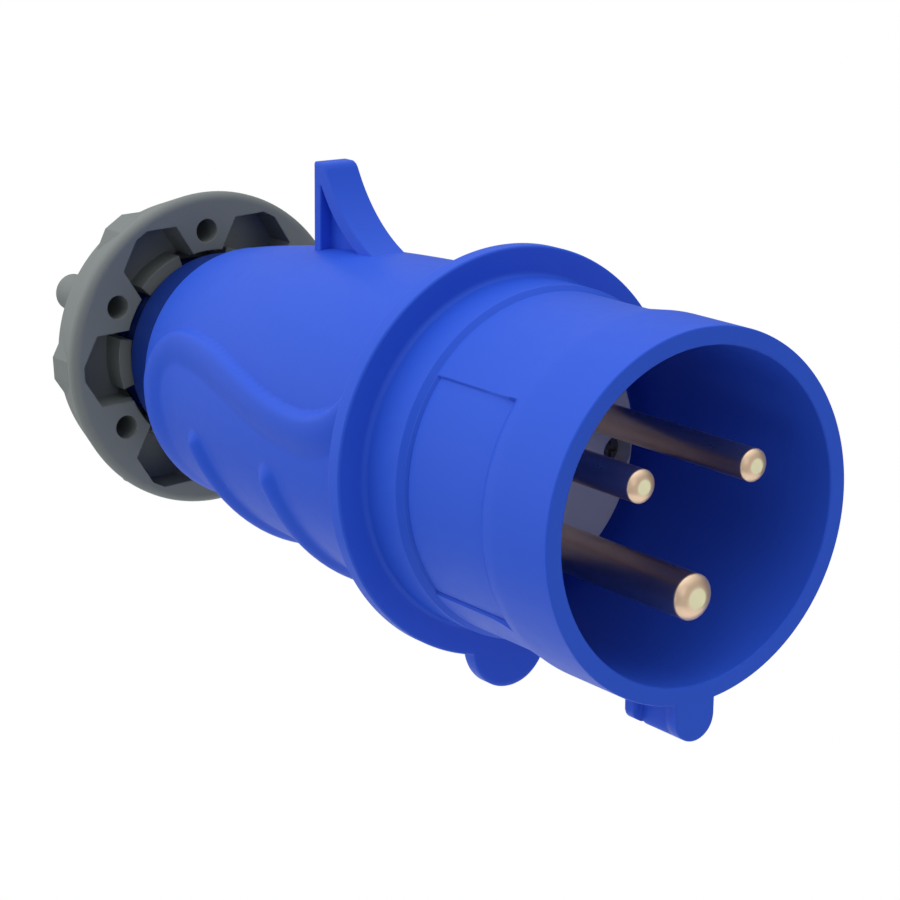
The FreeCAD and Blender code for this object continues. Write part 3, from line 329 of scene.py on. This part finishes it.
# collar=-0.1241 paints shade on the blue collar behind the grip, where the nut's shadow falls
BLUE = moulded("blue_polyamide", (0.026, 0.096, 0.65), (0.030, 0.106, 0.69), 0.42, 0.11, collar=-0.1241)
NUT_GREY = moulded("grey_polyamide", (0.176, 0.195, 0.190), (0.202, 0.222, 0.215), 0.50, 0.3, edge=0.0003)
INSERT_GREY = moulded("grey_insert", (0.66, 0.665, 0.72), (0.72, 0.725, 0.78), 0.55, 0.3, edge=0.0002)
CAGE_NYLON = moulded("pale_nylon", (0.58, 0.58, 0.54), (0.66, 0.66, 0.62), 0.45, 0.45, edge=0.0002)

# Sleeve, flange, tab and key. The radii are the mouth's, the barrel's behind it, the step's before the
# flange, the flange's and the tab's; the pins stand on a ring about the axis.
MOUTH, BARREL, STEP, FLANGE, TAB = 27.75, 26.8, 27.6, 32.35, 38.0
PIN_RING = 12.05
# Depths behind the mouth: the key's end, the back of its head and the front of its heel, and the
# flange's two faces.
KEY_LENGTH, KEY_HEAD, KEY_HEEL = 11.6, 2.45, 9.15
FLANGE_FRONT, FLANGE_BACK = 44.4, 47.4
# Edges of the label recess, each with its start and its end: depths behind the mouth, then angles from
# below. The gutters are the deeper strips along its rear and its foot.
LABEL_FRONT, LABEL_GUTTER, LABEL_REAR = (15.42, 15.58), (34.65, 34.80), (35.13, 35.27)
LABEL_TOP, FOOT_GUTTER, LABEL_FOOT = (-128.62, -128.38), (-52.55, -52.3), (-51.62, -51.38)
LABEL_FLOOR = 26.45


def sleeve_angles():
    """Angles from below: even steps, with extra ones at the edges of the key, its web, the tab and the
    label recess, so that each edge falls on a column."""
    even = np.radians(np.arange(-180, 180, 1.0))
    key = np.concatenate([np.linspace(6.45, 7.35, 7), np.linspace(3.8, 4.54, 4), np.linspace(0, 6.4, 9)])
    tab = np.linspace(8.5, 13.2, 14)
    label = np.array([*LABEL_TOP, -128.1, -127.95, *FOOT_GUTTER, *LABEL_FOOT])
    extra = np.radians(np.concatenate([key, -key, tab, -tab, label]))
    return np.unique(np.round(np.concatenate([even, extra]), 6))


def sleeve_profile():
    """Closed section of the sleeve and flange as (x, radius): corners with their rounding, from the mouth
    along the outside, round the spigot at the back and through the insert's seat. Behind the mouth come
    the rows that the key needs, and further on those of the label recess."""
    key_rows = (2.30, 2.55, 9.05, 9.30, 10.0, 10.6, 11.0, 11.3, 11.5, 11.58, 11.64)
    corners = np.array([
        (0.0, 24.95, 0.35), (0.0, MOUTH, 0.3), *[(-depth, MOUTH, 0) for depth in key_rows],
        (-13.0, MOUTH, 12.0), (-LABEL_FRONT[0], 27.42, 0), (-LABEL_FRONT[1], 27.40, 0), (-20.0, BARREL, 40.0),
        *[(-depth, BARREL, 0) for depth in (*LABEL_GUTTER, *LABEL_REAR)],
        (-35.45, BARREL, 0.05), (-36.35, STEP, 0.25), (-FLANGE_FRONT, STEP, 0.9),
        (-FLANGE_FRONT, FLANGE, 0.45), (-FLANGE_BACK, FLANGE, 0.45),
        (-FLANGE_BACK, 24.4, 0), (-51.2, 24.4, 0), (-51.2, 23.3, 0), (-53.4, 23.3, 0), (-53.4, 24.4, 0),
        (-56.0, 24.4, 0.3), (-56.0, 22.1, 0.3), (-50.0, 22.1, 0), (-50.0, 12.0, 0.2), (-47.0, 12.0, 0.2),
        (-47.0, 21.8, 0), (-45.5, 21.8, 0.2), (-45.5, 24.3, 0.5),
    ])
    return spread(rounded(corners[:, :2], corners[:, 2]), lambda middle: np.where(middle[:, 1] > 26, 1.2, 2.4))


def make_shroud():
    """Sleeve and flange. Each row of the closed profile is a ring about the axis. Its radius grows to the
    tongue of the key or the tab at that depth, the seat of the insert opens to the union of a disc and
    three circles about the pins, and the label recess sinks to its floor."""
    below = sleeve_angles()
    around = below[None, :]
    profile = sleeve_profile()
    x, radius = profile[:, :1], profile[:, 1:]
    whole = np.broadcast_to(radius, (len(x), len(below))).copy()

    head, web = -x < KEY_HEAD, (-x > KEY_HEAD) & (-x < KEY_HEEL)
    half_width = np.where(web, 2.2, 3.55)
    reach = np.where(web, 33.46, np.where(head, 33.6, 32.87))
    corner = np.where(web, 1.4, np.where(head, 3.55, 1.8))
    outer = (radius > 25.6) & (x > -12)
    key = np.where(outer & (-x < KEY_LENGTH), tongue(around, half_width, reach, corner), 0.0)
    whole = whole + ease(radius, 26.4, MOUTH) * outer * np.maximum(key - MOUTH, 0)

    at_tab = (x < 0.1 - FLANGE_FRONT) & (x > -FLANGE_BACK - 0.1) & (radius > 27)
    tab = np.where(at_tab, tongue(around, 7.0, TAB, 7.0), 0.0)
    stretch = np.clip((radius - 27.7) / (FLANGE - 27.7), 0, 1)
    whole = np.where(tab > 0, whole + stretch * np.maximum(tab - FLANGE, 0), whole)

    seat_disc, seat_circle, drawn_at = 11.3, 6.2, 12.0
    pin_turn = (around + np.pi / 3) % (2 * np.pi / 3) - np.pi / 3
    chord = seat_circle ** 2 - (PIN_RING * np.sin(pin_turn)) ** 2
    circle = np.where(chord > 0, PIN_RING * np.cos(pin_turn) + np.sqrt(np.maximum(chord, 0)), 0)
    seat = (radius < 20) & (x < -46)
    whole = np.where(seat, np.maximum(seat_disc, circle) + (radius - drawn_at), whole)

    along = (ease(-x, *LABEL_FRONT) - ease(-x, *LABEL_REAR)) * (radius > 26)
    across = ease(around, *np.radians(LABEL_TOP)) - ease(around, *np.radians(LABEL_FOOT))
    gutter = 0.45 * ease(around, *np.radians(FOOT_GUTTER)) + 0.2 * ease(-x, *LABEL_GUTTER)
    whole = whole + along * across * (LABEL_FLOOR - gutter - whole)
    shroud = put_grid("sleeve_and_flange", turned(x, whole, around), "housing", along=True)
    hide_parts("front_shroud")
    return finished(shroud, BLUE)


# Grip
def distance_to_line(points, line):
    """Signed distance from each point to a polyline: the nearest of all its segments, negative on the
    right of the way it runs."""
    start, step = line[:-1], np.diff(line, axis=0)
    nearest = np.full(len(points), np.inf)
    sign = np.ones(len(points))
    batch = 20000
    for first in range(0, len(points), batch):
        part = points[first:first + batch, None, :] - start[None]
        share = np.clip((part * step[None]).sum(-1) / (step ** 2).sum(-1)[None], 0, 1)
        away = part - share[..., None] * step[None]
        size = np.hypot(away[..., 0], away[..., 1])
        best = size.argmin(1)
        row = np.arange(len(best))
        nearest[first:first + batch] = size[row, best]
        cross = step[best, 0] * part[row, best, 1] - step[best, 1] * part[row, best, 0]
        sign[first:first + batch] = np.where(cross < 0, -1.0, 1.0)
    return nearest * sign


def border_line():
    """The raised border on the unrolled grip, as (x, angle from below in degrees). From the trough it
    rises to the flange as a quarter ellipse that ends in its own tangent, and to the crest as half a
    cosine wave. From the crest a quarter ellipse leads down to the run across the rear, and the other
    side is its mirror image."""
    low, trough, crest, rear = 99.7, -66.0, -108.0, -119.2
    rise_length, rise_height, tangent_at, flange_at = 14, 14.7, 0.93, 1.33
    height, run_end = 7.7, 88
    share = np.linspace(flange_at, 0, 40)
    bent = np.minimum(share, tangent_at)
    slope = rise_height * tangent_at / np.sqrt(1 - tangent_at ** 2)
    rise = rise_height * (1 - np.sqrt(1 - bent ** 2)) + slope * (share - bent)
    front = np.stack([trough + rise_length * share, low + rise], 1)
    share = np.linspace(0, 1, 50)[1:]
    wave = np.stack([trough + (crest - trough) * share, low + height * (1 - np.cos(np.pi * share))], 1)
    turn = np.linspace(0, np.pi / 2, 30)[1:]
    drop = low + 2 * height - run_end
    bend = np.stack([crest + (rear - crest) * np.sin(turn), run_end + drop * np.cos(turn)], 1)
    run = np.stack([np.full(30, rear), np.linspace(run_end, 0, 31)[1:]], 1)
    half = np.concatenate([front, wave, bend, run])
    return np.concatenate([half, (half * [1, -1])[::-1][1:]])


def grip_lift(x, below):
    """Height of the border and the two ribs over the grip's rows x and angles from below. The border is
    a bump of the distance to its line, crisp on the upper side and soft on the lower, and each rib is a
    bump of the distance to a slanting line that bends back as the square of the angle."""
    unroll, border_height, crisp_width, soft_width = 24.5, 1.6, 1.5, 5.2
    rib_height, rib_width, rib_end = 1.45, 2.9, 73
    grid = np.stack(np.broadcast_arrays(x, unroll * below), -1).reshape(-1, 2)
    away = distance_to_line(grid, border_line() * [1, np.radians(1) * unroll])
    crisp = np.clip(1 - (np.clip(-away, 0, None) / crisp_width) ** 2, 0, None) ** 0.85
    soft = np.clip(1 - (np.clip(away, 0, None) / soft_width) ** 2, 0, None) ** 1.6
    lift = border_height * np.where(away < 0, crisp, soft)
    for place, slant in ((-94.5, 7.0), (-70.5, 5.2)):
        turn = np.linspace(-rib_end, rib_end, 61)
        rib = np.stack([place - slant * (turn / rib_end) ** 2, np.radians(turn) * unroll], 1)
        gap = np.abs(distance_to_line(grid, rib)) / rib_width
        lift = np.maximum(lift, rib_height * np.clip(1 - gap ** 2, 0, None) ** 1.5)
    return lift.reshape(len(x), -1)


def make_grip():
    """Grip, collar and threaded neck. The outside is a smooth curve through the measured radii, lifted by
    the border and the ribs, and it ends in a quarter round. The neck carries a helical ridge, whose
    height follows the turn plus the length over the pitch, and the back of the grip sags a little."""
    front, rear, nose_radius, thread_radius, pitch = 47.4, 122.4, 1.6, 15.6, 3.0
    depth = np.array([front, 58, 69.5, 78, 87, 96, 104, 112, 118, 124])
    size = np.array([27.2, 26.95, 26.5, 26.05, 25.5, 24.75, 23.85, 22.75, 21.65, 20.3])
    curve = np.polynomial.Polynomial.fit(depth, size, 4)
    outside = np.arange(front, rear + 0.1, 0.4)
    top = np.stack([-outside, curve(outside)], 1)
    nose = np.radians(np.linspace(0, 90, 10)[1:])
    edge = np.stack([-rear - nose_radius * np.sin(nose), curve(rear) - nose_radius * (1 - np.cos(nose))], 1)
    collar = [(-124.0, 18.3), (-124.6, 17.9), (-125.4, 17.85), (-129, 17.85), (-132.4, 17.85), (-133.0, 17.7),
              (-133.6, 17.35), (-135.2, 16.2), (-135.6, thread_radius)]
    inside = [(-142.2, 15.0), (-142.2, 12.5), (-133, 12.5), (-133, 9), (-131, 9), (-131, 14.6), (-121.4, 14.6),
              (-118.8, 17.8), (-107, 20.0), (-96, 22.05), (-77, 23.3), (-57, 24.55), (-front, 24.55)]
    thread = np.arange(135.9, 142.2, 0.22)
    neck = np.stack([-thread, np.full(len(thread), thread_radius)], 1)
    profile = np.concatenate([top, edge, collar, neck, inside])
    around = np.radians(np.arange(-180, 180, 0.9))[None, :]
    x, radius = profile[:, :1], profile[:, 1:]
    whole = radius + np.zeros_like(around)
    whole[:len(top)] += grip_lift(x[:len(top)], around)
    turns = (x / pitch + around / (2 * np.pi)) % 1.0
    groove = np.clip(np.abs(turns - 0.5) * 2.6 - 0.3, 0, 1)
    whole -= groove * ease(-x, 135.8, 136.6) * (1 - ease(-x, 141.2, 142.1))
    points = turned(x, whole, around)
    sag = 0.55 * np.exp(-((x + 112) / 20) ** 2)
    points[..., 2] -= np.where((x > -124.5) & (radius > 18.2), sag, 0)
    grip = put_grid("grip_body", points, "housing", along=True)
    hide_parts("rear_handle")
    return finished(grip, BLUE)


# Lug
def hollow_arc(start, end, radius, count):
    """Points on the arc of a radius from one point to another, with its centre on the left of the way."""
    start, end = np.array(start), np.array(end)
    middle, way = (start + end) / 2, end - start
    half = np.hypot(*way) / 2
    left = np.array([-way[1], way[0]]) / (2 * half)
    centre = middle + left * np.sqrt(radius ** 2 - half ** 2)
    first = np.arctan2(*(start - centre)[::-1])
    last = np.arctan2(*(end - centre)[::-1])
    last = first + (last - first + np.pi) % (2 * np.pi) - np.pi
    turn = np.linspace(first, last, count)
    return centre + radius * np.stack([np.cos(turn), np.sin(turn)], 1)


def straight(start, end, count):
    return np.linspace(start, end, count, endpoint=False)


def make_lug():
    """Hook lug: a grid whose columns run round the outer outline and whose rows run from a point inside
    the pocket's floor over its wall and the rim to the outside, and back on the other side. A row's share
    is 0 on the outer outline, 1 on the pocket's outline, and 2 at the middle of the floor."""
    outer = np.concatenate([
        straight((-96, 21.0), (-96, 38.8), 14), arc_points((-95.82, 38.92), 0.18, 180, 90, 5),
        arc_points((-93.7, 37.6), 1.5, 90, 32, 9), hollow_arc((-92.3, 38.3), (-76.4, 25.1), 28.0, 30),
        straight((-76.2, 24.9), (-76.2, 21), 5), straight((-76.2, 21.0), (-96, 21.0), 12)])
    pocket = np.concatenate([
        straight((-94.0, 22.0), (-94.0, 34.9), 14), np.repeat([(-94.0, 35.0)], 5, 0),
        np.repeat([(-93.9, 35.0)], 9, 0), hollow_arc((-93.8, 34.9), (-82.4, 25.0), 26.0, 30),
        straight((-82.2, 24.8), (-82.2, 22), 5), straight((-82.2, 22.0), (-94.0, 22.0), 12)])
    middle = np.array([-90.5, 25.5])
    # share and distance from the lug's middle plane
    half = np.array([(2.0, 1.0), (1.04, 1.0), (1.0, 1.1), (1.0, 2.95), (0.93, 3.15), (0.86, 3.2), (0.16, 3.2),
                     (0.05, 3.12), (0.0, 2.9)])
    section = np.concatenate([half * [1, -1], half[::-1]])
    share, y = section[:, 0][:, None, None], section[:, 1][:, None, None]
    near = outer + np.clip(share, 0, 1) * (pocket - outer)
    flat = near + np.clip(share - 1, 0, 1) * (middle - near)
    points = np.concatenate([flat[..., :1], np.broadcast_to(y, flat[..., :1].shape), flat[..., 1:]], -1)
    lug = put_grid("hook_lug", points, "housing")
    return finished(lug, BLUE)


# Pins
def make_pin(name, y, z, radius):
    """Turned pin, each row of its profile a ring about the pin's own axis: a flat tip, a dome that is an
    arc from 80 to 38 degrees and meets the shank in a fine rounded edge, the shank with a slightly
    thicker seat behind it, the trapped collar and the terminal barrel."""
    flat, tip, dome_steps, edge = radius * 0.42, -0.2, 14, 0.12
    dome_turn = np.radians(np.linspace(80, 38, dome_steps))
    edge_turn = np.radians([28, 14, 0])
    bow = (radius - flat) / (np.cos(dome_turn[-1]) - np.cos(dome_turn[0]))
    start = tip - bow * np.sin(dome_turn[0])
    drop = np.cos(dome_turn[-1]) - np.cos(dome_turn)
    dome = np.stack([start + bow * np.sin(dome_turn), radius - bow * drop], 1)
    fine = np.stack([start + (bow - edge) * np.sin(dome_turn[-1]) + edge * np.sin(edge_turn),
                     radius - edge + edge * np.cos(edge_turn)], 1)
    seat, collar, barrel, bore = radius + 0.4, 4.6, 4.0, 2.1
    rest = [(-20, radius), (-42, radius), (-42, seat), (-52, seat), (-52, collar), (-54, collar), (-54, barrel),
            (-58, barrel), (-69.7, barrel), (-70, 3.7), (-70, bore), (-59.5, bore), (-59, 0)]
    profile = np.concatenate([[(tip, 0.0), (tip, flat * 0.6), (tip, flat * 0.93)], dome, fine, rest])
    around = np.radians(np.arange(0, 360, 5.0))[None, :]
    points = turned(profile[:, :1], profile[:, 1:], around) + np.array([0, y, z])
    pin = put_grid(name + "_turned", points, "housing")
    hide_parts(name)
    return finished(pin, turned_brass(name + "_brass", y * MM, z * MM, radius * MM))


make_shroud()
make_grip()
make_lug()
for pin, angle, radius in (("line_pin", 150, 2.5), ("neutral_pin", 30, 2.5), ("earth_pin", -90, 3.5)):
    make_pin(pin, PIN_RING * np.cos(np.radians(angle)), PIN_RING * np.sin(np.radians(angle)), radius)

STEEL = plated("zinc_plate")
RUBBER = rubber("black_rubber")
NODE_FINISH = {
    "contact_carrier": INSERT_GREY, "pin_retainer": INSERT_GREY, "line_terminal_screw": STEEL,
    "neutral_terminal_screw": STEEL, "earth_terminal_screw": STEEL, "carrier_screw_left": STEEL,
    "carrier_screw_right": STEEL, "retainer_screw": STEEL, "housing_seal": RUBBER, "cable_grommet": RUBBER,
    "slip_ring": CAGE_NYLON, "clamp_cage": CAGE_NYLON, "gland_nut": NUT_GREY,
}
for node, finish in NODE_FINISH.items():
    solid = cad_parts[node]
    solid.data.materials.clear()
    solid.data.materials.append(finish)


# Floor, light and camera
def make_floor():
    """Round floor far below the part: rings of points joined by quads, the first one at its middle."""
    finish = Finish("pale_floor")
    cloud = finish.noise(finish.place(), 3.0, 3.0)
    colour = finish.tint(cloud, (0.84, 0.84, 0.85), (0.88, 0.88, 0.88))
    material = finish.shade(Base_Color=colour, Roughness=0.8 + cloud * 0.1)
    turn = np.radians(np.arange(0, 360, 5.0))
    ring = np.array([0.0, 300.0, 450.0])[:, None]
    points = np.stack([ring * np.cos(turn) - 75, ring * np.sin(turn), np.full((3, len(turn)), -300.0)], -1)
    index = np.arange(points.size // 3).reshape(3, -1)
    index = np.concatenate([index, index[:, :1]], 1)
    quads = np.stack([index[:-1, :-1], index[1:, :-1], index[1:, 1:], index[:-1, 1:]], -1).reshape(-1, 4)
    mesh = bpy.data.meshes.new("floor")
    mesh.from_pydata((points.reshape(-1, 3) * MM).tolist(), [], quads.tolist())
    floor = bpy.data.objects.new("floor", mesh)
    bpy.context.scene.collection.objects.link(floor)
    floor.data.materials.append(material)


def soft_light(name, at, size, power):
    """Round area light that looks at the middle of the part."""
    middle = Vector((-0.07, 0.0, 0.0))
    light = bpy.data.lights.new(name, "AREA")
    light.shape = "DISK"
    light.size, light.energy = size, power
    lamp = bpy.data.objects.new(name, light)
    lamp.location = at
    lamp.rotation_euler = (middle - Vector(at)).to_track_quat("-Z", "Y").to_euler()
    lamp.visible_camera = False
    bpy.context.scene.collection.objects.link(lamp)


# The room's lobes: direction, power, strength
LOBES = (
    ((0, 0, 1), 2.0, 1.66),
    ((0, 0, -1), 2.0, 0.28),
    ((-1, 0, 0), 2.0, 0.48),
    ((0, -1, 1), 6.0, 0.7),
    ((-1, -1, 0.3), 6.0, 1.2),
    ((1, -0.4, -0.1), 7.0, 0.42),
    ((0.8, 0.56, -0.24), 14.0, 1.25),
)


def make_world():
    """White behind the object. The room that lights it is a sum of soft lobes, each the cosine of the
    angle to its own direction, raised to a power and times a strength."""
    world = bpy.data.worlds.new("studio")
    room = Nodes(world)
    way = room.node("ShaderNodeTexCoord", {})
    light = 0.0
    for direction, power, strength in LOBES:
        unit = Vector(direction).normalized()
        cosine = room.node("ShaderNodeVectorMath", {"operation": "DOT_PRODUCT"}, way, unit, out=1)
        light = cosine.math("MAXIMUM", cosine, 0.0) ** power * strength + light
    room_light = room.node("ShaderNodeBackground", {}, (0.97, 0.985, 1, 1), light)
    white = room.node("ShaderNodeBackground", {}, (1, 1, 1, 1), 1.0)
    camera_ray = room.node("ShaderNodeLightPath", {})
    seen = room.node("ShaderNodeMixShader", {}, camera_ray, room_light, white)
    room.node("ShaderNodeOutputWorld", {}, seen)
    bpy.context.scene.world = world


def make_camera():
    """Camera at the photograph's angle, from its place and its right and up directions."""
    right = Vector((0.581548, 0.813470, 0.008294))
    up = Vector((-0.207379, 0.138381, 0.968424))
    place = Matrix.Translation((0.283204, -0.247331, 0.105989))
    lens = bpy.data.cameras.new("camera")
    lens.sensor_width = 36.0
    lens.lens = 109.774
    lens.clip_start, lens.clip_end = 0.01, 20.0
    camera = bpy.data.objects.new("camera", lens)
    camera.matrix_world = place @ Matrix((right, up, right.cross(up))).transposed().to_4x4()
    bpy.context.scene.collection.objects.link(camera)
    bpy.context.scene.camera = camera


make_floor()
make_world()
soft_light("front", (0.9, -0.35, 0.25), 0.35, 0.34)
soft_light("side", (0.3, -0.65, -0.1), 0.3, 0.25)
make_camera()
bpy.context.scene.view_settings.view_transform = "Standard"
